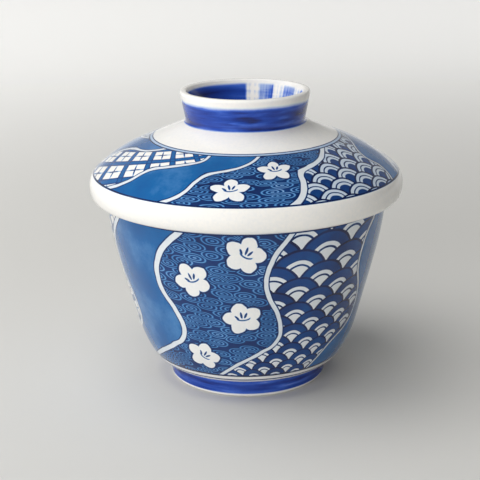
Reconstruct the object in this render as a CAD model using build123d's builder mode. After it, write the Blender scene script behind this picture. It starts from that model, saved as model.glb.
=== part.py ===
"""Lidded rice bowl: a footed porcelain bowl and the lid that rests on its rim.

Millimetres, +Z up. The origin is the centre of the face that the foot ring stands on.
Both pieces are turned shapes, so each is one closed outline revolved about the Z axis.
Outline points are (radius, height).
"""

import os

from build123d import *

# Overall
BRIM_RADIUS = 60.0  # the lid's brim, the widest part
TOTAL_HEIGHT = 113.0  # standing face to the top of the grip ring

# Bowl
BOWL_HEIGHT = 74.0
RIM_RADIUS = 54.2
RIM_THICKNESS = 3.4
RIM_ROUND = 1.4
FOOT_RADIUS = 30.6
FOOT_TOP_RADIUS = 30.2
FOOT_HEIGHT = 6.8
FOOT_WALL = 3.8
FOOT_DRAFT = 0.8  # the foot's inner wall leans in by this much
FOOT_ROUND = 0.9
FOOT_RECESS = 4.6
BASE_RADIUS = 34.4  # where the belly starts, just above the foot
BASE_HEIGHT = 7.9
FLOOR_HEIGHT = 9.6  # inside, at the centre

# Lid
SEAT_GAP = 0.3  # between the bowl's rim and the lid's seat
SEAT_HEIGHT = BOWL_HEIGHT + SEAT_GAP
SKIRT_DEPTH = 1.5  # how far the brim hangs below the seat
SKIRT_INNER_RADIUS = 56.2
BRIM_LOW_ROUND = 2.2
SHOULDER_RADIUS = 58.6
SHOULDER_HEIGHT = 82.2
FLANGE_RADIUS = 49.0  # the locating ring that drops inside the bowl's rim
FLANGE_WALL = 2.6
FLANGE_DEPTH = 4.8
FLANGE_ROUND = 0.8
CEILING_HEIGHT = 97.4  # the lid's hollow underside, at the centre

# Grip ring on the lid
RING_BASE_RADIUS = 22.6
RING_BASE_HEIGHT = 101.2
RING_RADIUS = 24.9
RING_WALL = 2.6
RING_ROUND = 1.0
RING_ROOT_FILLET = 1.2
RING_FLOOR_RADIUS = 19.4
RING_FLOOR_HEIGHT = 102.2
RING_FLOOR_FILLET = 1.6

os.makedirs("parts", exist_ok=True)


def circles_at(part, radius, height):
    """The circular edges of a turned part at one radius and height."""
    return [
        edge
        for edge in part.edges().filter_by(GeomType.CIRCLE)
        if abs(edge.radius - radius) < 0.01 and abs(edge.center().Z - height) < 0.01
    ]


# Bowl: foot ring, belly and rim in one piece
foot_inner = FOOT_RADIUS - FOOT_WALL
foot_inner_top = foot_inner - FOOT_DRAFT
rim_inner = RIM_RADIUS - RIM_THICKNESS

with BuildPart() as bowl:
    with BuildSketch(Plane.XZ):
        with BuildLine():
            Polyline(
                (0, FOOT_RECESS),
                (foot_inner_top, FOOT_RECESS),
                (foot_inner, 0),
                (FOOT_RADIUS, 0),
                (FOOT_TOP_RADIUS, FOOT_HEIGHT),
                (BASE_RADIUS, BASE_HEIGHT),
            )
            Spline(
                (BASE_RADIUS, BASE_HEIGHT),
                (38.4, 12.4),
                (44.8, 30.0),
                (49.0, 46.0),
                (52.2, 60.0),
                (RIM_RADIUS, BOWL_HEIGHT),
                tangents=[(1.0, 0.62), (0.12, 1.0)],
            )
            Line((RIM_RADIUS, BOWL_HEIGHT), (rim_inner, BOWL_HEIGHT))
            Spline(
                (rim_inner, BOWL_HEIGHT),
                (48.7, 60.0),
                (45.4, 46.0),
                (41.0, 30.0),
                (31.6, 15.2),
                (0, FLOOR_HEIGHT),
                tangents=[(-0.12, -1.0), (-1.0, 0)],
            )
            Line((0, FLOOR_HEIGHT), (0, FOOT_RECESS))
        make_face()
    revolve(axis=Axis.Z)
    fillet(circles_at(bowl, RIM_RADIUS, BOWL_HEIGHT), RIM_ROUND)
    fillet(circles_at(bowl, rim_inner, BOWL_HEIGHT), RIM_ROUND)
    fillet(circles_at(bowl, FOOT_RADIUS, 0), FOOT_ROUND)
    fillet(circles_at(bowl, foot_inner, 0), FOOT_ROUND)
    fillet(circles_at(bowl, foot_inner_top, FOOT_RECESS), FOOT_ROUND)
    fillet(circles_at(bowl, FOOT_TOP_RADIUS, FOOT_HEIGHT), FOOT_ROUND)

bowl.part.label = "bowl"
export_step(bowl.part, "parts/bowl.step")


# Lid: brim, domed top, grip ring, and the flange that keeps it centred on the bowl
skirt_height = SEAT_HEIGHT - SKIRT_DEPTH
flange_inner = FLANGE_RADIUS - FLANGE_WALL
flange_height = SEAT_HEIGHT - FLANGE_DEPTH
ring_inner = RING_RADIUS - RING_WALL

with BuildPart() as lid:
    with BuildSketch(Plane.XZ):
        with BuildLine():
            Polyline(
                (flange_inner, flange_height),
                (FLANGE_RADIUS, flange_height),
                (FLANGE_RADIUS, SEAT_HEIGHT),
                (SKIRT_INNER_RADIUS - SKIRT_DEPTH, SEAT_HEIGHT),
                (SKIRT_INNER_RADIUS, skirt_height),
                (BRIM_RADIUS - BRIM_LOW_ROUND, skirt_height),
            )
            Spline(
                (BRIM_RADIUS - BRIM_LOW_ROUND, skirt_height),
                (BRIM_RADIUS, 76.8),
                (SHOULDER_RADIUS, SHOULDER_HEIGHT),
                tangents=[(1.0, 0.25), (-0.75, 1.0)],
            )
            Spline(
                (SHOULDER_RADIUS, SHOULDER_HEIGHT),
                (46.0, 91.0),
                (34.6, 96.0),
                (RING_BASE_RADIUS, RING_BASE_HEIGHT),
                tangents=[(-1.0, 0.95), (-1.0, 0.46)],
            )
            Polyline(
                (RING_BASE_RADIUS, RING_BASE_HEIGHT),
                (RING_RADIUS, TOTAL_HEIGHT),
                (ring_inner, TOTAL_HEIGHT),
                (RING_FLOOR_RADIUS, RING_FLOOR_HEIGHT),
                (0, RING_FLOOR_HEIGHT),
                (0, CEILING_HEIGHT),
            )
            Spline(
                (0, CEILING_HEIGHT),
                (34.0, 91.4),
                (47.2, 80.0),
                (flange_inner, flange_height),
                tangents=[(1.0, 0), (-0.1, -1.0)],
            )
        make_face()
    revolve(axis=Axis.Z)
    fillet(circles_at(lid, RING_BASE_RADIUS, RING_BASE_HEIGHT), RING_ROOT_FILLET)
    fillet(circles_at(lid, RING_RADIUS, TOTAL_HEIGHT), RING_ROUND)
    fillet(circles_at(lid, ring_inner, TOTAL_HEIGHT), RING_ROUND)
    fillet(circles_at(lid, RING_FLOOR_RADIUS, RING_FLOOR_HEIGHT), RING_FLOOR_FILLET)
    fillet(circles_at(lid, FLANGE_RADIUS, flange_height), FLANGE_ROUND)
    fillet(circles_at(lid, flange_inner, flange_height), FLANGE_ROUND)

lid.part.label = "lid"
export_step(lid.part, "parts/lid.step")

for piece in (bowl, lid):
    box = piece.part.bounding_box()
    print(f"{piece.part.label}: {piece.part.volume / 1000:.1f} cm3, {box.min.Z:.2f} to {box.max.Z:.2f} mm high")
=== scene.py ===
"""Lidded rice bowl in blue and white porcelain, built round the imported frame.

Metres, +Z up, front towards -Y. Each piece is one turned mesh whose outline repeats the
CAD outline in millimetres. The underglaze painting is made of shader nodes that read two
maps: degrees of arc round and up the piece, and millimetres along its outline.
"""

import math

import bpy
import numpy as np
from mathutils import Matrix, Vector


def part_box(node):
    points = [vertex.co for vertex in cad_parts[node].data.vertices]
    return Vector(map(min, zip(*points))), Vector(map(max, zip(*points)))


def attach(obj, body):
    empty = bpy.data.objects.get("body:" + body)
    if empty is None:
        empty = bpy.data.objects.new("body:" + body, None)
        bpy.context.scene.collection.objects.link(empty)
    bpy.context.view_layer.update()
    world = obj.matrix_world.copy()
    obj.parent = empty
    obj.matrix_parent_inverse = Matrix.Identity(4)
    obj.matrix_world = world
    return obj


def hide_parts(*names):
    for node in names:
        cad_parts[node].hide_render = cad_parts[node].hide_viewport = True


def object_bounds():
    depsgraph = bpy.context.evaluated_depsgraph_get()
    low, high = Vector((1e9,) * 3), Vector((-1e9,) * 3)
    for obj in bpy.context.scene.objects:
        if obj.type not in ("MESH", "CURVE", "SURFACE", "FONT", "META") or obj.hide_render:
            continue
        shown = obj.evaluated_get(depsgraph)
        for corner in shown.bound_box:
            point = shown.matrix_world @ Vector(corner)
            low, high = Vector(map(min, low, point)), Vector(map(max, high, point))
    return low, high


MM = 0.001
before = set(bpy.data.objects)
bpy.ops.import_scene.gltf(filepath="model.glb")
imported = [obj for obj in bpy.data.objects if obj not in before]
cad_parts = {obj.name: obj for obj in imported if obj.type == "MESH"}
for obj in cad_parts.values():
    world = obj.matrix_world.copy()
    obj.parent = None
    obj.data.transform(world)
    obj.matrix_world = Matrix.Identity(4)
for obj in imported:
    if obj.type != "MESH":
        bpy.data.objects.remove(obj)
cad_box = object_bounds()

# ---------------------------------------------------------------- outlines, in millimetres

# Bowl. A pair is a radius and a height.
BOWL_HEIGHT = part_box("bowl")[1].z / MM
RIM_RADIUS = 54.2
RIM_INNER = 50.8
RIM_ROUND = 1.4
BELLY = [(38.4, 12.4), (44.8, 30), (49, 46), (52.2, 60)]
BASE = (34.4, 7.9)  # where the belly starts, just above the foot
FOOT_TOP = (30.2, 6.8)
FOOT_RADIUS = 30.6
FOOT_INNER = 26.8
FOOT_ROUND = 0.9
RECESS_CORNER = (26.0, 4.6)
INSIDE = [(48.7, 60), (45.4, 46), (41, 30), (31.6, 15.2)]
FLOOR_HEIGHT = 9.6  # inside, at the centre

# Lid
LID_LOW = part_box("lid")[0].z / MM
LID_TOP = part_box("lid")[1].z / MM
CEILING_HEIGHT = 97.4  # the hollow underside, at the centre
HOLLOW = [(34, 91.4), (47.2, 80)]
FLANGE_RADIUS = 49.0  # the flange drops inside the bowl's rim
FLANGE_INNER = 46.4
FLANGE_ROUND = 0.8
SEAT_HEIGHT = 74.3
SEAT_OUTER = 54.7
SEAT_FILLET = 0.3
SKIRT = (56.2, 72.8)
SKIRT_ROUND = 0.5
BRIM_LOW = (57.8, 72.8)
BRIM_ROUND = 0.3
BRIM_EDGE = (60.0, 76.8)
SHOULDER = (58.6, 82.2)
DOME = [(46, 91), (34.6, 96)]
RING_BASE = (22.6, 101.2)
RING_ROOT_FILLET = 1.2
RING_RADIUS = 24.9
RING_INNER = 22.3
RING_ROUND = 1.0
RING_FLOOR = (19.4, 102.2)
RING_FLOOR_FILLET = 1.6

STEP = 0.8  # spacing of outline points along a run
CORNER_STEPS = 8  # divisions of a rounded corner
TURNS = 288  # mesh divisions round the axis
ON_AXIS = 1e-6  # a smaller radius is a point on the axis


def unit(direction):
    direction = np.array(direction, float)
    return direction / np.linalg.norm(direction)


def straight(*corners):
    """Evenly spaced points from corner to corner."""
    corners = [np.array(c, float) for c in corners]
    out = [corners[0]]
    for a, b in zip(corners, corners[1:]):
        count = max(2, round(np.linalg.norm(b - a) / STEP))
        out += [a + (b - a) * (i + 1) / count for i in range(count)]
    return out


def curved(points, start, end):
    """Evenly spaced points on a smooth curve that leaves along start and arrives along end."""
    p = np.array(points, float)
    chord = np.linalg.norm(np.diff(p, axis=0), axis=1)
    count = len(p)
    system, right = np.eye(count), np.zeros((count, 2))
    right[0], right[-1] = unit(start), unit(end)
    for i in range(1, count - 1):
        before, after = chord[i - 1], chord[i]
        system[i, i - 1 : i + 2] = after, 2 * (before + after), before
        right[i] = 3 * (after * (p[i] - p[i - 1]) / before + before * (p[i + 1] - p[i]) / after)
    slope = np.linalg.solve(system, right)
    out = [p[0]]
    for i, length in enumerate(chord):
        divisions = max(2, round(length / STEP))
        for t in np.arange(1, divisions + 1) / divisions:
            keep, move = (1 + 2 * t) * (1 - t) ** 2, t * t * (3 - 2 * t)
            leave, arrive = t * (1 - t) ** 2 * length, t * t * (t - 1) * length
            out.append(keep * p[i] + move * p[i + 1] + leave * slope[i] + arrive * slope[i + 1])
    return out


def trimmed(run, length):
    """The run with that length cut off its end, and the direction in which it then ends."""
    run = list(run)
    while np.linalg.norm(run[-1] - run[-2]) <= length:
        length -= np.linalg.norm(run[-1] - run[-2])
        run.pop()
    direction = unit(run[-1] - run[-2])
    run[-1] = run[-1] - direction * length
    return run, direction


def rounded(run, following, radius):
    """The two runs as one, with a round of that radius in place of the corner between them."""
    cosine = np.dot(unit(run[-1] - run[-2]), unit(following[1] - following[0]))
    turn = math.acos(np.clip(cosine, -1, 1))
    cut = radius * math.tan(turn / 2)
    run, leaving = trimmed(run, cut)
    following, backwards = trimmed(following[::-1], cut)
    handle = 4 / 3 * math.tan(turn / 4) * radius
    a, d = run[-1], following[-1]
    b, c = a + leaving * handle, d + backwards * handle
    corner = []
    for t in np.arange(1, CORNER_STEPS) / CORNER_STEPS:
        s = 1 - t
        corner.append(s**3 * a + 3 * s * s * t * b + 3 * s * t * t * c + t**3 * d)
    return run + corner, following[::-1]


def outline(*runs):
    """One closed outline from (name, points, radius) runs, where radius rounds the end of a run.

    Returns the points and, for each name, the number of the point where that run stops.
    """
    points, stops = list(runs[0][1]), {}
    for (name, _, radius), (_, following, _) in zip(runs, runs[1:]):
        if radius:
            points, following = rounded(points, following, radius)
        else:
            following = following[1:]
        stops[name] = len(points) - 1
        points = points + list(following)
    stops[runs[-1][0]] = len(points) - 1
    return np.array(points), stops


def bowl_outline():
    """Radius and height from the centre of the foot's recess, up the outside and back down."""
    foot_inner, foot_outer = (FOOT_INNER, 0), (FOOT_RADIUS, 0)
    rim_outer, rim_inner = (RIM_RADIUS, BOWL_HEIGHT), (RIM_INNER, BOWL_HEIGHT)
    belly = curved([BASE, *BELLY, rim_outer], (1, 0.62), (0.12, 1))
    inside = curved([rim_inner, *INSIDE, (0, FLOOR_HEIGHT)], (-0.12, -1), (-1, 0))
    return outline(
        ("recess", straight((0, RECESS_CORNER[1]), RECESS_CORNER), FOOT_ROUND),
        ("foot_inside", straight(RECESS_CORNER, foot_inner), FOOT_ROUND),
        ("foot_face", straight(foot_inner, foot_outer), FOOT_ROUND),
        ("foot", straight(foot_outer, FOOT_TOP), FOOT_ROUND),
        ("base", straight(FOOT_TOP, BASE), 0),
        ("belly", belly, RIM_ROUND),
        ("rim", straight(rim_outer, rim_inner), RIM_ROUND),
        ("inside", inside, 0),
    )


def lid_outline():
    """Radius and height from the centre of the hollow underside, out to the brim and up over."""
    flange_inner, flange_outer = (FLANGE_INNER, LID_LOW), (FLANGE_RADIUS, LID_LOW)
    flange_root, seat_outer = (FLANGE_RADIUS, SEAT_HEIGHT), (SEAT_OUTER, SEAT_HEIGHT)
    ring_outer, ring_inner = (RING_RADIUS, LID_TOP), (RING_INNER, LID_TOP)
    hollow = curved([(0, CEILING_HEIGHT), *HOLLOW, flange_inner], (1, 0), (-0.1, -1))
    brim = curved([BRIM_LOW, BRIM_EDGE, SHOULDER], (1, 0.25), (-0.75, 1))
    dome = curved([SHOULDER, *DOME, RING_BASE], (-1, 0.95), (-1, 0.46))
    return outline(
        ("hollow", hollow, FLANGE_ROUND),
        ("flange_face", straight(flange_inner, flange_outer), FLANGE_ROUND),
        ("flange", straight(flange_outer, flange_root), SEAT_FILLET),
        ("seat", straight(flange_root, seat_outer, SKIRT), SKIRT_ROUND),
        ("brim_face", straight(SKIRT, BRIM_LOW), BRIM_ROUND),
        ("brim", brim, 0),
        ("dome", dome, RING_ROOT_FILLET),
        ("ring", straight(RING_BASE, ring_outer), RING_ROUND),
        ("ring_rim", straight(ring_outer, ring_inner), RING_ROUND),
        ("ring_inside", straight(ring_inner, RING_FLOOR), RING_FLOOR_FILLET),
        ("ring_floor", straight(RING_FLOOR, (0, RING_FLOOR[1])), 0),
    )


# ---------------------------------------------------------------- turned meshes

SMALLEST_RADIUS = 5.0  # nearer the axis than this, a degree of arc stops shrinking
ZERO_SEARCH = 8  # points in which the level of a map's zero is looked for
TILE_GAP = 0.004  # between the tiles of the bake layout


def placed(name, data):
    thing = bpy.data.objects.new(name, data)
    bpy.context.scene.collection.objects.link(thing)
    return thing


def running_total(values):
    return np.concatenate([[0], np.cumsum(values)])


def turned(name, points, zero, islands):
    """A closed mesh turned round the axis, with its two painting maps and its bake layout.

    The paint map holds degrees round and degrees up. The degrees up are of the local radius,
    so that a pattern keeps its proportions and shrinks where the piece is narrower. The trace
    map holds millimetres along the outline, and nothing across it. Both count up from 0 just
    after point number zero[0], at the height zero[1].
    """
    count = len(points)
    lengths = np.linalg.norm(np.diff(points, axis=0), axis=1)
    radii = np.maximum(points[:, 0], SMALLEST_RADIUS)
    travel = running_total(lengths)
    height = running_total(np.degrees(lengths / ((radii[1:] + radii[:-1]) / 2)))
    first, level = zero
    near = slice(first, first + ZERO_SEARCH)
    height -= np.interp(level, points[near, 1], height[near])
    travel -= np.interp(level, points[near, 1], travel[near])
    around = np.radians(np.arange(TURNS) * 360 / TURNS - 180)
    vertices, rows = [], []
    for radius, z in points:
        if radius < ON_AXIS:
            rows.append([len(vertices)] * TURNS)
            vertices.append((0, 0, z * MM))
            continue
        rows.append(list(range(len(vertices), len(vertices) + TURNS)))
        x, y = radius * np.sin(around) * MM, -radius * np.cos(around) * MM
        vertices += list(zip(x, y, [z * MM] * TURNS))
    faces, paint, trace, bake = [], [], [], []
    for i in range(count - 1):
        spot = next(place for stop, place in islands if i < stop)
        for j in range(TURNS):
            corners = [(i, j), (i, j + 1), (i + 1, j + 1), (i + 1, j)]
            if rows[i][0] == rows[i][-1]:
                corners = corners[1:]
                corners[0] = (i, j + 0.5)
            elif rows[i + 1][0] == rows[i + 1][-1]:
                corners = corners[:3]
                corners[2] = (i + 1, j + 0.5)
            faces.append([rows[a][int(b) % TURNS] for a, b in corners])
            for a, b in corners:
                paint.append((b * 360 / TURNS - 180, height[a]))
                trace.append((travel[a], 0))
                bake.append(spot(a, b / TURNS, j / TURNS))
    mesh = bpy.data.meshes.new(name)
    mesh.from_pydata(vertices, [], faces)
    for layer, values in (("paint", paint), ("trace", trace), ("OFBake", bake)):
        uv = mesh.uv_layers.new(name=layer)
        uv.data.foreach_set("uv", np.array(values, np.float32).ravel())
    mesh.shade_smooth()
    return placed(name, mesh), travel


def tiles(first, last, rows, columns, low, high, left=0.0, right=1.0):
    """Bake layout of a wall: its turn is cut into rows times columns equal tiles."""

    def place(i, turn, face_turn):
        tile = min(int(face_turn * rows * columns), rows * columns - 1)
        row, column = divmod(tile, columns)
        wide, tall = (right - left) / columns, (high - low) / rows
        across, rise = turn * rows * columns - tile, (i - first) / (last - first)
        return (
            left + column * wide + TILE_GAP / 2 + (wide - TILE_GAP) * across,
            low + row * tall + TILE_GAP / 2 + (tall - TILE_GAP) * rise,
        )

    return place


def disc(first, last, centre, radius):
    """Bake layout of a floor or ceiling: a disc whose middle is the run's end on the axis."""
    middle = first if first == 0 else last

    def place(i, turn, face_turn):
        out = radius * abs(i - middle) / (last - first)
        angle = turn * 2 * math.pi
        return centre[0] + out * math.cos(angle), centre[1] + out * math.sin(angle)

    return place


# ---------------------------------------------------------------- arithmetic on shader nodes


class Number:
    """A number that varies over the surface. Arithmetic on it adds shader nodes."""

    def __init__(self, socket):
        self.socket = socket

    def __add__(self, other):
        return calculate("ADD", self, other)

    def __sub__(self, other):
        return calculate("SUBTRACT", self, other)

    def __rsub__(self, other):
        return calculate("SUBTRACT", other, self)

    def __mul__(self, other):
        return calculate("MULTIPLY", self, other)

    def __truediv__(self, other):
        return calculate("DIVIDE", self, other)

    def __pow__(self, other):
        return calculate("POWER", self, other)

    def __abs__(self):
        return calculate("ABSOLUTE", self)

    def __lt__(self, other):
        return calculate("LESS_THAN", self, other)

    __radd__ = __add__


def add_node(tree, kind, inputs, **settings):
    """A new shader node, with its inputs linked or set by name or by number."""
    node = tree.nodes.new("ShaderNode" + kind)
    for name, value in settings.items():
        setattr(node, name, value)
    for name, value in inputs.items():
        if isinstance(value, Number):
            tree.links.new(value.socket, node.inputs[name])
        else:
            node.inputs[name].default_value = value
    return node


def object_place(tree):
    """The place on the object in metres, which is the same in every pose."""
    return Number(add_node(tree, "TexCoord", {}).outputs["Object"])


def calculate(operation, *values):
    tree = next(v for v in values if isinstance(v, Number)).socket.id_data
    return Number(add_node(tree, "Math", dict(enumerate(values)), operation=operation).outputs[0])


def wrapped(value, half):
    """The value folded into the range from -half to half."""
    return calculate("WRAP", value, half, -half)


def smaller(a, b):
    return calculate("MINIMUM", a, b)


def larger(a, b):
    return calculate("MAXIMUM", a, b)


def hypotenuse(a, b):
    return (a * a + b * b) ** 0.5


def fade(value, start, end):
    """0 up to start and 1 from end on, or the other way round where end is below start."""
    inputs = {"Value": value, "From Min": start, "From Max": end}
    node = add_node(value.socket.id_data, "MapRange", inputs, interpolation_type="SMOOTHSTEP")
    return Number(node.outputs["Result"])


def within(value, edge, soft):
    """1 where the value is under the edge and 0 over it, with a soft step between."""
    return fade(value, edge + soft, edge - soft)


def between(value, low, high, soft):
    """1 from low to high and 0 outside, with soft steps."""
    return fade(value, low - soft, low + soft) * within(value, high, soft)


def over(below, above, cover):
    """The number above laid over the number below where cover is 1."""
    node = add_node(cover.socket.id_data, "Mix", {0: cover, 2: below, 3: above})
    return Number(node.outputs[0])


def steps(value, stops):
    """A ramp through (position, level) stops, with positions from 0 to 1."""
    node = add_node(value.socket.id_data, "ValToRGB", {0: value})
    fill_ramp(node.color_ramp, [(position, (level,) * 3) for position, level in stops])
    return Number(node.outputs[0])


def fill_ramp(ramp, stops):
    while len(ramp.elements) < len(stops):
        ramp.elements.new(0.5)
    for element, (position, colour) in zip(ramp.elements, stops):
        element.position = position
        element.color = (*colour, 1)


def wavy_line(up, points):
    """Where a painted line stands at each height: a smooth curve through (height, turn) points."""
    points = np.array(points, float)
    low, high = points.min(axis=0), points.max(axis=0)
    share = (up - low[0]) * (1 / (high[0] - low[0]))
    node = add_node(up.socket.id_data, "FloatCurve", {"Value": share})
    curve = node.mapping.curves[0]
    node.mapping.use_clip = False
    marks = (points - low) / (high - low)
    curve.points[0].location, curve.points[1].location = marks[0], marks[-1]
    for mark in marks[1:-1]:
        curve.points.new(*mark)
    node.mapping.update()
    return Number(node.outputs[0]) * float(high[1] - low[1]) + float(low[1])


def noise(place, scale, detail=2.0):
    """Smooth random variation about 0, mostly between -0.3 and 0.3."""
    inputs = {"Vector": place, "Scale": scale, "Detail": detail}
    node = add_node(place.socket.id_data, "TexNoise", inputs)
    return Number(node.outputs[0]) - 0.5


def stretched(place, x, y, z):
    inputs = {0: place, 1: (x, y, z)}
    node = add_node(place.socket.id_data, "VectorMath", inputs, operation="MULTIPLY")
    return Number(node.outputs[0])


def vector(x, y):
    return Number(add_node(x.socket.id_data, "CombineXYZ", {0: x, 1: y}).outputs[0])


def split(place):
    return [Number(s) for s in add_node(place.socket.id_data, "SeparateXYZ", {0: place}).outputs]


def local_to(place, centre, turn, size, mark=0.0):
    """The place in units of size from a turned centre. Its third number is the mark."""
    inputs = {
        "Vector": place,
        "Location": (*centre, -mark),
        "Rotation": (0, 0, math.radians(turn)),
        "Scale": (*size, 1),
    }
    node = add_node(place.socket.id_data, "Mapping", inputs, vector_type="TEXTURE")
    return Number(node.outputs[0])


def size_of(place):
    node = add_node(place.socket.id_data, "VectorMath", {0: place}, operation="LENGTH")
    return Number(node.outputs["Value"])


# ---------------------------------------------------------------- the painted patterns
# Every pattern works in degrees of arc, and gives the ink from 0, bare glaze, to 1, navy.

INK_LINE = 0.98  # fine brush outlines
INK_DARK = 0.9  # bands round the foot
INK_WASH = 0.5  # the plain panels
BARE_LINE = 0.08  # the lines that part the panels
BARE_PETAL = 0.03
BARE_SCALE = 0.07
BARE = 0.01  # glaze with nothing under it
REPEAT = 90.0  # half the turn after which the painting repeats
WAVER = 0.6  # how far a hand-held brush strays, in degrees


class Place:
    """Where the shader is: degrees round and up, millimetres along the outline, and noise.

    The degrees waver a little, as a hand-held brush does, apart from level, which is true.
    """

    def __init__(self, tree):
        self.around, self.up, _ = split(self.layer(tree, "paint"))
        self.along, _, _ = split(self.layer(tree, "trace"))
        self.solid = object_place(tree)
        self.level = self.up
        self.around = self.around + noise(self.solid, 210.0, 1.0) * WAVER
        self.up = self.up + noise(self.solid, 190.0, 1.0) * WAVER
        self.pooling = noise(self.solid, 70.0, 4.0)
        self.grain = noise(self.solid, 900.0)

    @staticmethod
    def layer(tree, name):
        return Number(add_node(tree, "UVMap", {}, uv_map=name).outputs[0])


def distance_to(place, points, offset=0.0):
    """Signed distance round to a wavy line, measured square to the line."""
    here = wavy_line(place.up, points)
    slope = wavy_line(place.up + 1.0, points) - here
    return wrapped(place.around - here - offset, REPEAT) / (slope * slope + 1.0) ** 0.5


def panel(left, right):
    """1 between the line on the left and the line on the right."""
    soft = 0.2
    return fade(left, -soft, soft) * fade(right, soft, -soft)


def piping(ink, distance, width):
    """A bare line of that width with a fine dark outline on both sides."""
    border, soft = 0.45, 0.15
    off = abs(distance)
    ink = over(ink, INK_LINE, within(off, width / 2 + border, soft))
    return over(ink, BARE_LINE, within(off, width / 2, soft))


def wash(place):
    """The plain panels, with the ink pooled here and there."""
    return place.pooling * 0.34 + INK_WASH


def brush_streaks(place):
    """Variation about 0 in long streaks round the axis, as a wide brush leaves on the wheel."""
    return noise(stretched(place.solid, 1, 1, 9.0), 60.0, 3.0)


def cell_distance(inputs, feature):
    """Distance from the centre of a cell, or from its border, in a flat pattern of cells."""
    tree = inputs["Vector"].socket.id_data
    node = add_node(tree, "TexVoronoi", inputs, voronoi_dimensions="2D", feature=feature)
    return Number(node.outputs["Distance"])


def whorls(place, size, lean, ground, line):
    """Small ovals drawn as rings inside one another, in staggered rows that aren't quite even.

    The ovals are the cells of a square pattern turned by 45 degrees. Near its border a cell's
    distance from the centre gives way to the distance from the border, which closes each ring.
    """
    warp = noise(place.solid, 90.0, 1.0)
    across = (place.around + warp * 1.6) / size[0]
    rise = (place.up + place.around * lean - warp * 1.2) / size[1]
    spot = vector((across + rise) * math.sqrt(0.5), (rise - across) * math.sqrt(0.5))
    inputs = {"Vector": spot, "Scale": 1.0, "Randomness": 0.5}
    from_centre, from_border = (cell_distance(inputs, f) for f in ("F1", "DISTANCE_TO_EDGE"))
    out = larger(from_centre, 0.55 - from_border * 1.6)
    half_line, half_blur = 0.025, 0.07
    rings = []
    for radius in (0.05, 0.25, 0.46):
        rings += [(radius - half_blur, ground), (radius - half_line, line)]
        rings += [(radius + half_line, line), (radius + half_blur, ground)]
    return steps(out, rings) + place.pooling * 0.4


def scales(x, y, row_height, reach, bands):
    """Overlapping round scales in half-offset rows, each drawn as the bands from its centre out.

    Columns are 2 apart in x and rows are row_height apart in y. A lower row lies in front.
    """
    first = calculate("CEIL", (y - reach) / row_height)

    def from_centre(behind):
        row = first + float(behind)
        return hypotenuse(wrapped(x - row, 1.0), y - row * row_height)

    out = from_centre(2)
    for behind in (1, 0):
        nearer = from_centre(behind)
        out = over(out, nearer, nearer < reach)
    end = reach * 1.05  # a little past the last band
    return steps(out / end, [(distance / end, ink) for distance, ink in bands])


TRELLIS = [(-53, 12.5, 3.0), (22, 10.5, 0.0)]  # lean, spacing and shift of its two sets of bands
TRELLIS_BAND = [(0.0, 0.5), (0.9, 0.55), (1.15, 0.85), (1.4, 0.8), (1.6, 0.0)]


def trellis(place):
    """White cells between crossing bands, and in each cell thin threads that cross in a knot."""
    around = wrapped(place.around + REPEAT, REPEAT)
    bands, threads, knots = [], [], []
    for angle, spacing, shift in TRELLIS:
        lean = math.radians(angle)
        square = place.up * math.cos(lean) - around * math.sin(lean) + shift
        off = abs(wrapped(square, spacing / 2))
        cell = spacing / 2  # the middle of a cell is this far off the band
        bands.append(steps(off * 0.1, [(edge * 0.1, ink) for edge, ink in TRELLIS_BAND]))
        threads.append(fade(off, cell - 0.55, cell - 0.15))
        knots.append(fade(off, cell - 3.2, cell - 1.4))
    thread = larger(*threads) * (knots[0] * knots[1] * 0.6 + 0.25)
    return larger(larger(*bands), thread)


# Marks inside a blossom of radius 1: the middle, lean and size of each stamen.
STAMENS = [
    ((-0.26, 0.10), 132, (0.15, 0.055)),
    ((-0.03, 0.24), 96, (0.20, 0.055)),
    ((0.18, 0.20), 66, (0.17, 0.055)),
]


def blossoms(ink, place, flowers, petal):
    """White five-petalled flowers with a fine outline, three stamens and a curved stroke.

    Each flower is (turn, height, half its size, lean, turn of the petals), and petal is the
    (centre, radius, pinch) of the two arcs that make a petal of a flower of radius 1.
    """
    spot = vector(wrapped(place.around, REPEAT), place.up)
    nearest = None
    for turn, height, size, lean, petals in flowers:
        local = local_to(spot, (turn, height), lean, size, math.radians(petals - lean))
        if nearest is None:
            nearest = local
            continue
        cover = size_of(local) < size_of(nearest)
        inputs = {0: cover, 4: nearest, 5: local}
        mixed = add_node(cover.socket.id_data, "Mix", inputs, data_type="VECTOR")
        nearest = Number(mixed.outputs[1])
    x, y, petals = split(nearest)
    centre, arc, pinch = petal
    heart, border, soft = 0.5, 0.08, 0.03
    reach = hypotenuse(x, y)
    fold = wrapped(calculate("ARCTAN2", y, x) - petals, math.pi / 5)
    length, width = reach * calculate("COSINE", fold), abs(reach * calculate("SINE", fold))
    edge = smaller(hypotenuse(length - centre, width + pinch) - arc, reach - heart)
    edge = edge + noise(place.solid, 330.0, 1.0) * 0.13
    ink = over(ink, INK_LINE, within(edge, border, soft))
    ink = over(ink, BARE_PETAL, within(edge, 0.0, soft))
    flat = vector(x, y)
    for middle, lean, size in STAMENS:
        stamen = within(size_of(local_to(flat, middle, lean, size)), 1.0, 0.25)
        ink = over(ink, 0.8, stamen)
    arc_x, arc_y, arc_radius = 0.05, 0.42, 0.52
    curl = within(abs(hypotenuse(x - arc_x, y - arc_y) - arc_radius), 0.035, 0.025)
    curl = curl * within(abs(x - arc_x), 0.32, 0.06) * within(y, 0.1, 0.02)
    return over(ink, 0.75, curl)


# ---------------------------------------------------------------- the bowl's painting

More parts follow.
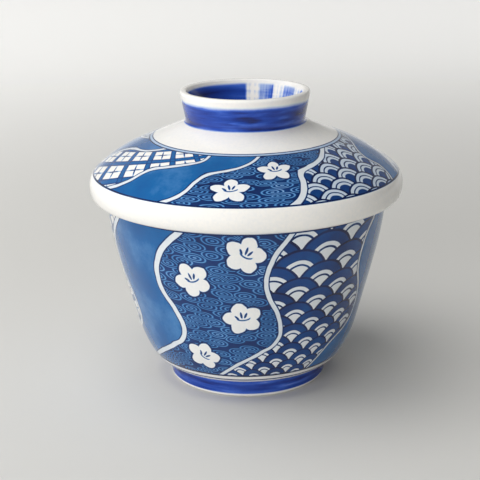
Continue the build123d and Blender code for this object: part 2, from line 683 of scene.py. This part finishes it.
# Lines between the panels, as (height, turn) points. Line a runs along b, and e along d.
BOWL_B = [(6, -71), (17, -53), (26, -39), (32, -32.5), (37, -31.4), (46, -34), (57, -39.8)]
BOWL_B += [(63, -40.2), (69, -38.9), (80, -30.5)]
BOWL_C = [(9, -15), (17, -6), (26, 7), (31, 13.2), (37, 15), (46, 13.2), (57, 8.4), (63, 7.4)]
BOWL_C += [(69, 8.3), (80, 14.3)]
BOWL_D = [(11, 36.5), (23, 46), (31, 58), (37, 62), (42, 62.3), (52, 59), (63, 54.2), (69, 54)]
BOWL_D += [(80, 59)]
A_FROM_B = -35.0
E_FROM_D = 26.0
BOWL_WHORL = (9.4, 3.9)  # spacing round and up
BOWL_FLOWERS = [
    (-1.0, 75.3, (8.0, 8.0), -25, 71),
    (-23.0, 63.0, (8.0, 8.0), 18, 48),
    (-2.5, 45.0, (8.8, 8.2), 5, 34),
    (-23.0, 21.8, (8.9, 8.0), -40, 72),
]
ROUND_PETAL = (0.56, 0.46, 0.06)


def bowl_scales(place):
    """Fans under an arc, on rows that close up towards the foot."""
    column, row_height, reach = 21.0, 0.57, 1.12
    half_width = place.up * 0.09 + 5.2
    x = wrapped(place.around - column, REPEAT) / half_width
    rise = place.up * math.radians(1) - 0.165
    row = rise * 11.4 - rise * rise
    fan = [(0.0, BARE_SCALE), (0.45, BARE_SCALE), (0.47, 0.95), (0.52, 0.95), (0.54, BARE_SCALE)]
    fan += [(0.68, BARE_SCALE), (0.70, 0.95), (0.74, 0.76), (1.02, 0.76), (1.04, 1.0), (reach, 1.0)]
    return scales(x, row * row_height, row_height, reach, fan) * (place.pooling * 0.6 + 0.98)


def bowl_panels(place):
    """The painted panels, from left to right, and the bare lines between them."""
    b, d = distance_to(place, BOWL_B), distance_to(place, BOWL_D)
    a = distance_to(place, BOWL_B, A_FROM_B)
    c = distance_to(place, BOWL_C)
    e = distance_to(place, BOWL_D, E_FROM_D)
    ground = whorls(place, BOWL_WHORL, lean=0.14, ground=0.84, line=0.36)
    ground = blossoms(ground, place, BOWL_FLOWERS, ROUND_PETAL)
    ink = over(wash(place), ground, panel(b, c))
    ink = over(ink, bowl_scales(place), panel(c, d))
    ink = over(ink, trellis(place), panel(e, a))
    for line, width in ((a, 2.2), (b, 2.5), (c, 1.9), (d, 1.2), (e, 1.5)):
        ink = piping(ink, line, width)
    return ink


def bowl_painting(place, marks):
    """Ink over the whole bowl, and where it is a band brushed on the foot.

    The marks are where the runs of the outline stop, in millimetres along it.
    """
    low, high = 5.2, marks["belly"] - 3.0  # the panels, with a dark line along each end
    foot_low, foot_high = marks["foot_face"] + 0.5, marks["foot"] + 1.4  # the brushed band
    soft = 0.12
    ink = bowl_panels(place)
    ink = over(ink, INK_LINE, 1.0 - between(place.along, low + 0.3, high - 0.5, soft))
    ink = over(ink, BARE, 1.0 - between(place.along, low - 0.6, high, soft))
    ink = over(ink, INK_DARK, between(place.along, 1.75, 2.6, soft))  # a thin line on bare glaze
    ink = over(ink, INK_DARK, within(place.along, -1.0, 0.15))  # the ledge over the foot
    middle = between(place.along, marks["foot"] - 3.6, marks["foot"] - 2.2, 0.6)
    brushed = brush_streaks(place) * 1.1 + 0.58 + middle * 0.25
    ink = over(ink, brushed, between(place.along, foot_low, foot_high, 0.25))
    ink = over(ink, BARE, within(place.along, foot_low, 0.2))
    return ink, within(place.along, foot_high, 0.25)


# ---------------------------------------------------------------- the lid's painting

LID_1 = [(9, -100), (17, -92), (26, -84), (30, -76), (33, -64), (38, -55)]
LID_2 = [(9, -59), (14, -52), (20, -48), (23, -45.5), (27, -37), (31, -28), (34, -23), (38, -21)]
LID_3 = [(9, -30), (13, -24.5), (20, -20.6), (24, -17.5), (28, -8), (32, 0), (38, 6)]
LID_4 = [(9, 16.5), (13, 20.6), (18, 22.6), (24, 24), (28, 31.5), (31, 38.5), (35, 44), (39, 48.5)]
LID_5 = [(9, 67.5), (15, 70), (22, 67.8), (26, 69), (29, 72), (33, 80), (38, 92)]
LID_FLOWERS = [(-6.5, 16.2, (8.1, 6.0), 5, 90), (12.8, 27.3, (8.4, 6.8), 5, 90)]
POINTED_PETAL = (0.55, 0.472, 0.14)
LID_WHORL = (9.4, 2.9)  # spacing round and up
# Pale streaks on the inside of the grip ring, partly where the brush left it nearly bare and
# partly a painted reflection of a window: ink by share of the way round from the start of the
# streaks to half a turn.
STREAKS_START = 100.0
BRUSH_GAPS_AND_REFLECTION = [(0.0, 0.9), (0.05, 0.1), (0.22, 0.12), (0.25, 0.4), (0.42, 0.42), (0.45, 0.08)]
BRUSH_GAPS_AND_REFLECTION += [(0.6, 0.08), (0.62, 0.72), (0.64, 0.5), (0.79, 0.48), (0.82, 0.15), (0.96, 0.25)]
BRUSH_GAPS_AND_REFLECTION += [(1.0, 0.9)]


def lid_scales(place):
    """Two white arcs round a blue middle on each scale, on rows that open out up the dome."""
    column, half_width, row_height, reach = 32.3, 6.4, 0.72, 1.06
    x = wrapped(place.around - column, REPEAT) / half_width
    row = (place.up - 13.2) * 0.225 - (place.up - 13.2) * (place.up - 22.1) * 0.003
    arcs = [(0.0, 0.72), (0.42, 0.8), (0.45, 0.13), (0.62, 0.13), (0.64, 0.92), (0.70, 0.92)]
    arcs += [(0.72, 0.13), (0.92, 0.13), (0.94, 0.95), (reach, 0.98)]
    tone = place.pooling * 0.4 + 0.99
    return scales(x, row * row_height + 0.95, row_height, reach, arcs) * tone


def lid_panels(place):
    """The painted panels, from left to right, and the bare lines between them."""
    lines = [distance_to(place, points) for points in (LID_1, LID_2, LID_3, LID_4, LID_5)]
    one, two, three, four, five = lines
    ink = over(wash(place), trellis(place), panel(one, two))
    ground = whorls(place, LID_WHORL, lean=0.0, ground=0.89, line=0.35)
    ground = blossoms(ground, place, LID_FLOWERS, POINTED_PETAL)
    ink = over(ink, ground, panel(three, four))
    ink = over(ink, lid_scales(place), panel(four, five))
    for line, width in zip(lines, (1.6, 1.7, 1.6, 2.4, 1.0)):
        ink = piping(ink, line, width)
    return ink


def ring_outside(place, root):
    """Ink brushed on the outside of the grip ring, from its root up.

    Paler ink below where the stroke ends is a painted highlight.
    """
    spot = vector(place.around, place.along - root)
    lap = size_of(local_to(spot, (-2.0, 3.5), 0, (19.0, 1.7)))  # where the stroke ends on its start
    painted_highlight = size_of(local_to(spot, (-6.0, 2.3), 0, (12.0, 0.8)))  # a painted highlight: paler ink below the lap
    stroke_end = within(lap, 0.8, 0.3) * fade(place.around, -22.0, 4.0)
    return brush_streaks(place) * 1.3 + 0.72 + stroke_end * 0.3 - within(painted_highlight, 0.7, 0.35) * 0.22


def ring_inside(place):
    """Ink brushed on the inside of the grip ring, which thins out towards the back.

    At the back right it breaks into pale streaks: partly thin brushwork, partly a painted
    reflection of a window.
    """
    # pale vertical streaks: partly bare brushwork, partly a painted reflection of a window
    streaked_ink = steps((place.around - STREAKS_START) / (180.0 - STREAKS_START), BRUSH_GAPS_AND_REFLECTION)
    rays = noise(vector(place.around * 0.3, place.along * 0.03), 1.0, 2.0)
    streaked_ink = streaked_ink + rays * 0.8 * within(abs(place.around - 139.0), 38.0, 2.0)
    # the ink thinner towards the back of the ring
    paler_at_back = fade(abs(place.around), 125.0, 175.0) * 0.2
    return streaked_ink + brush_streaks(place) * 0.5 - paler_at_back


def lid_painting(place, marks):
    """Ink over the whole lid, and where it is a band brushed on the grip ring.

    The marks are where the runs of the outline stop, in millimetres along it.
    """
    low, high = 8.3, 42.0  # the panels, up to a pale band between two dark lines
    soft = 0.15
    ink = lid_panels(place)
    ink = over(ink, INK_LINE, 1.0 - between(place.level, low + 0.6, high - 2.8, 0.1))
    ink = over(ink, 0.2, between(place.level, high - 2.1, high - 0.6, soft))
    ink = over(ink, BARE, 1.0 - between(place.level, low, high, soft))
    root, top_edge = marks["dome"], marks["ring"] - 4.2 + place.pooling * 1.2
    outside = fade(place.along, root - 1.5, root - 0.5) * within(place.along, top_edge, 1.3)
    ink = over(ink, ring_outside(place, root), outside)
    rim, floor = marks["ring_rim"] + 0.6, marks["ring_inside"] + 0.4
    inside = fade(place.along, rim, rim + 3.0) * 0.5 + fade(place.along, rim, rim + 1.2) * 0.5
    ink = over(ink, ring_inside(place), inside * within(place.along, floor, 0.4))
    return ink, fade(place.along, root - 1.6, root - 1.3)


# ---------------------------------------------------------------- materials

# The colour of fired ink from bare glaze to the thickest
PRINTED = [
    (0.0, "#f3f0ea"),
    (0.12, "#ccd7e2"),
    (0.32, "#5e94c8"),
    (0.5, "#0c5e9d"),
    (0.72, "#0c3f7e"),
    (0.88, "#0d2a5e"),
    (1.0, "#0b1842"),
]
BRUSHED = [
    (0.0, "#f3f0ea"),
    (0.2, "#adc0e2"),
    (0.45, "#4069c8"),
    (0.65, "#1d45a6"),
    (0.85, "#132e82"),
    (1.0, "#0f1c54"),
]


def shade(code):
    """Linear colour from a hexadecimal sRGB code."""
    parts = [int(code[i : i + 2], 16) / 255 for i in (1, 3, 5)]
    return [p / 12.92 if p <= 0.04045 else ((p + 0.055) / 1.055) ** 2.4 for p in parts]


def pigment(ink, stops):
    """The colour of fired ink at each strength."""
    node = add_node(ink.socket.id_data, "ValToRGB", {0: ink})
    fill_ramp(node.color_ramp, [(position, shade(code)) for position, code in stops])
    return Number(node.outputs[0])


def new_material(name):
    material = bpy.data.materials.new(name)
    material.use_nodes = True
    material.node_tree.nodes.clear()
    return material, material.node_tree


def shader(tree, inputs):
    surface = add_node(tree, "BsdfPrincipled", inputs)
    add_node(tree, "OutputMaterial", {0: Number(surface.outputs[0])})


def glazed_porcelain(name, painting, marks):
    """Cobalt painting under a clear, slightly uneven glaze."""
    material, tree = new_material(name)
    place = Place(tree)
    ink, brushed = painting(place, marks)
    ink = ink + place.grain * 0.05 + place.pooling * 0.03
    colours = {0: brushed, 6: pigment(ink, PRINTED), 7: pigment(ink, BRUSHED)}
    colour = Number(add_node(tree, "Mix", colours, data_type="RGBA").outputs[2])
    swell = noise(place.solid, 95.0, 1.0) + place.grain * 0.04
    relief = {"Height": swell, "Strength": 0.25, "Distance": 0.0006}
    normal = Number(add_node(tree, "Bump", relief).outputs[0])
    shader(
        tree,
        {
            "Base Color": colour,
            "Roughness": place.pooling * 0.12 + 0.24,
            "Normal": normal,
            "Coat Normal": normal,
            "IOR": 1.5,
            "Specular IOR Level": 0.15,
            "Coat Weight": 0.6,
            "Coat Roughness": 0.035,
        },
    )
    return material


def bare_biscuit(name):
    """Unglazed, sanded clay on the ring that the bowl stands on."""
    material, tree = new_material(name)
    solid = object_place(tree)
    stain, grit = noise(solid, 160.0, 4.0), noise(solid, 2600.0)
    tones = [(0.0, "#b9ab98"), (0.5, "#d9d0c2"), (1.0, "#e6e0d5")]
    relief = {"Height": grit, "Strength": 0.5, "Distance": 0.0002}
    normal = Number(add_node(tree, "Bump", relief).outputs[0])
    colour = pigment(stain * 1.2 + grit * 0.3 + 0.55, tones)
    shader(tree, {"Base Color": colour, "Roughness": grit * 0.1 + 0.85, "Normal": normal})
    return material


FAR_FLOOR = 0.5  # how bright the floor and the room look far away


def pale_paper():
    """Plain paper that stays pale far out on the floor, where the lights don't reach."""
    material, tree = new_material("pale_paper")
    x, y, z = split(object_place(tree))
    glow = fade(hypotenuse(x, y), 0.15, 1.1) * fade(z, 0.3, 0.0) * FAR_FLOOR
    paper = {"Base Color": (*shade("#d8d7d3"), 1), "Roughness": 0.9}
    shader(tree, paper | {"Emission Color": (1, 1, 1, 1), "Emission Strength": glow})
    return material


# ---------------------------------------------------------------- pieces


def porcelain_piece(body, outline_of, start, level, layout, painting):
    """The glazed piece that stands for the body's CAD solid.

    The painting's coordinates are 0 at that level of the run after the stop called start.
    """
    points, stops = outline_of()
    islands = layout(points, stops)
    piece, travel = turned(body + "_glaze", points, (stops[start], level), islands)
    marks = {name: float(travel[stop]) for name, stop in stops.items()}
    piece.data.materials.append(glazed_porcelain(body + "_porcelain_glaze", painting, marks))
    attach(piece, body)
    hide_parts(body)
    return piece, stops


def bowl_layout(points, stops):
    end = len(points) - 1
    base, rim = stops["base"], stops["rim"]
    return [
        (stops["recess"], disc(0, stops["recess"], (0.12, 0.88), 0.11)),
        (base, tiles(stops["recess"], base, 1, 2, 0.77, 0.87, 0.25, 1.0)),
        (rim, tiles(base, rim, 2, 2, 0.0, 0.75)),
        (end, disc(rim, end, (0.36, 0.935), 0.06)),
    ]


def lid_layout(points, stops):
    end = len(points) - 1
    hollow, seat, dome = stops["hollow"], stops["seat"], stops["dome"]
    rim, inside = stops["ring_rim"], stops["ring_inside"]
    return [
        (hollow, disc(0, hollow, (0.07, 0.93), 0.065)),
        (seat, tiles(hollow, seat, 1, 1, 0.8, 0.85, 0.0, 0.4)),
        (dome, tiles(seat, dome, 2, 2, 0.0, 0.75)),
        (rim, tiles(dome, rim, 1, 1, 0.77, 0.85, 0.42, 1.0)),
        (inside, tiles(rim, inside, 1, 1, 0.87, 0.95, 0.42, 1.0)),
        (end, disc(inside, end, (0.28, 0.93), 0.065)),
    ]


bowl, bowl_stops = porcelain_piece("bowl", bowl_outline, "base", 8.0, bowl_layout, bowl_painting)
bowl.data.materials.append(bare_biscuit("bowl_foot_biscuit"))
half_corner = CORNER_STEPS // 2  # the bare clay starts and ends in the middle of a rounded corner
for face in bowl.data.polygons:
    row = face.index // TURNS + half_corner
    if bowl_stops["foot_inside"] <= row < bowl_stops["foot_face"]:
        face.material_index = 1
porcelain_piece("lid", lid_outline, "brim_face", 74.0, lid_layout, lid_painting)


# ---------------------------------------------------------------- floor, light and camera


def aimed(thing, place, target, roll=0.0):
    """Puts the thing at the place with its -Z axis towards the target, turned by roll."""
    forward = (target - place).normalized()
    side = forward.cross(Vector((0, 0, 1))).normalized()
    frame_axes = Matrix((side, side.cross(forward), -forward)).transposed().to_4x4()
    turn = Matrix.Rotation(roll, 4, "Z")
    thing.matrix_world = Matrix.Translation(place) @ frame_axes @ turn


def softbox(name, place, target, size, power, spread=180, mirrored=False):
    """A white light of that size in metres and power in watts, with its spread in degrees.

    Only a mirrored one shows as a reflection in the glaze.
    """
    light = bpy.data.lights.new(name, "AREA")
    light.shape = "RECTANGLE"
    light.size, light.size_y = size
    light.energy = power
    light.spread = math.radians(spread)
    lamp = placed(name, light)
    lamp.visible_glossy = mirrored
    aimed(lamp, Vector(place), target)


def studio_surroundings():
    """A soft room, brighter behind and to the left. The camera itself sees it pale all round."""
    world = bpy.data.worlds.new("studio")
    world.use_nodes = True
    tree = world.node_tree
    tree.nodes.clear()
    x, y, _ = split(Number(add_node(tree, "TexCoord", {}).outputs["Generated"]))
    seen = Number(add_node(tree, "LightPath", {}).outputs["Is Camera Ray"])
    soft_light = fade(y * 0.8 - x, -0.9, 0.9) * 0.1 + 0.12
    strength = over(soft_light, FAR_FLOOR + 0.1, seen)
    room = add_node(tree, "Background", {"Color": (1.0, 0.995, 0.985, 1), "Strength": strength})
    add_node(tree, "OutputWorld", {0: Number(room.outputs[0])})
    return world


def paper_sweep(half_width, front, bend, radius, top):
    """A floor that curves up into a wall behind the object."""
    side = [(front, 0.0), (bend, 0.0)]
    divisions = 24
    for i in range(1, divisions + 1):
        angle = math.radians(90 * i / divisions)
        side.append((bend + radius * math.sin(angle), radius * (1 - math.cos(angle))))
    side.append((bend + radius, top))
    mesh = bpy.data.meshes.new("paper_sweep")
    ground = cad_box[0].z
    vertices = [(x, y, ground + z) for y, z in side for x in (-half_width, half_width)]
    faces = [(2 * i, 2 * i + 1, 2 * i + 3, 2 * i + 2) for i in range(len(side) - 1)]
    mesh.from_pydata(vertices, [], faces)
    mesh.shade_smooth()
    mesh.materials.append(pale_paper())
    placed("paper_sweep", mesh)


middle = (cad_box[0] + cad_box[1]) / 2
paper_sweep(half_width=3.0, front=-3.0, bend=0.75, radius=0.4, top=1.6)
softbox("window", (-0.95, -0.02, 0.45), middle, size=(0.7, 0.7), power=2.2, mirrored=True)
softbox("ceiling", (-0.38, -0.15, 0.97), middle, size=(1.0, 1.0), power=6.9)
softbox("front_fill", (-0.45, -1.0, 0.25), middle, size=(0.8, 0.8), power=8.2)
softbox("back_fill", (-0.5, 0.9, 0.3), middle, size=(0.8, 0.4), power=0.55, spread=90)
wall_foot = Vector((0, 0.85, 0))
softbox("wall_light", (0.0, 0.85, 1.0), wall_foot, size=(1.3, 0.4), power=1.4, spread=80)
bpy.context.scene.world = studio_surroundings()

CAMERA_HEIGHT_ANGLE = math.radians(17.0)
CAMERA_DISTANCE = 0.48
CAMERA_ROLL = math.radians(-0.7)
LENS = 91.8
look_at = Vector((-2.6 * MM, 0, 53.2 * MM))
camera = placed("camera", bpy.data.cameras.new("camera"))
camera.data.lens = LENS
camera.data.sensor_width = 36.0
back = Vector((0, -math.cos(CAMERA_HEIGHT_ANGLE), math.sin(CAMERA_HEIGHT_ANGLE)))
aimed(camera, look_at + back * CAMERA_DISTANCE, look_at, CAMERA_ROLL)
bpy.context.scene.camera = camera
bpy.context.scene.view_settings.view_transform = "Standard"
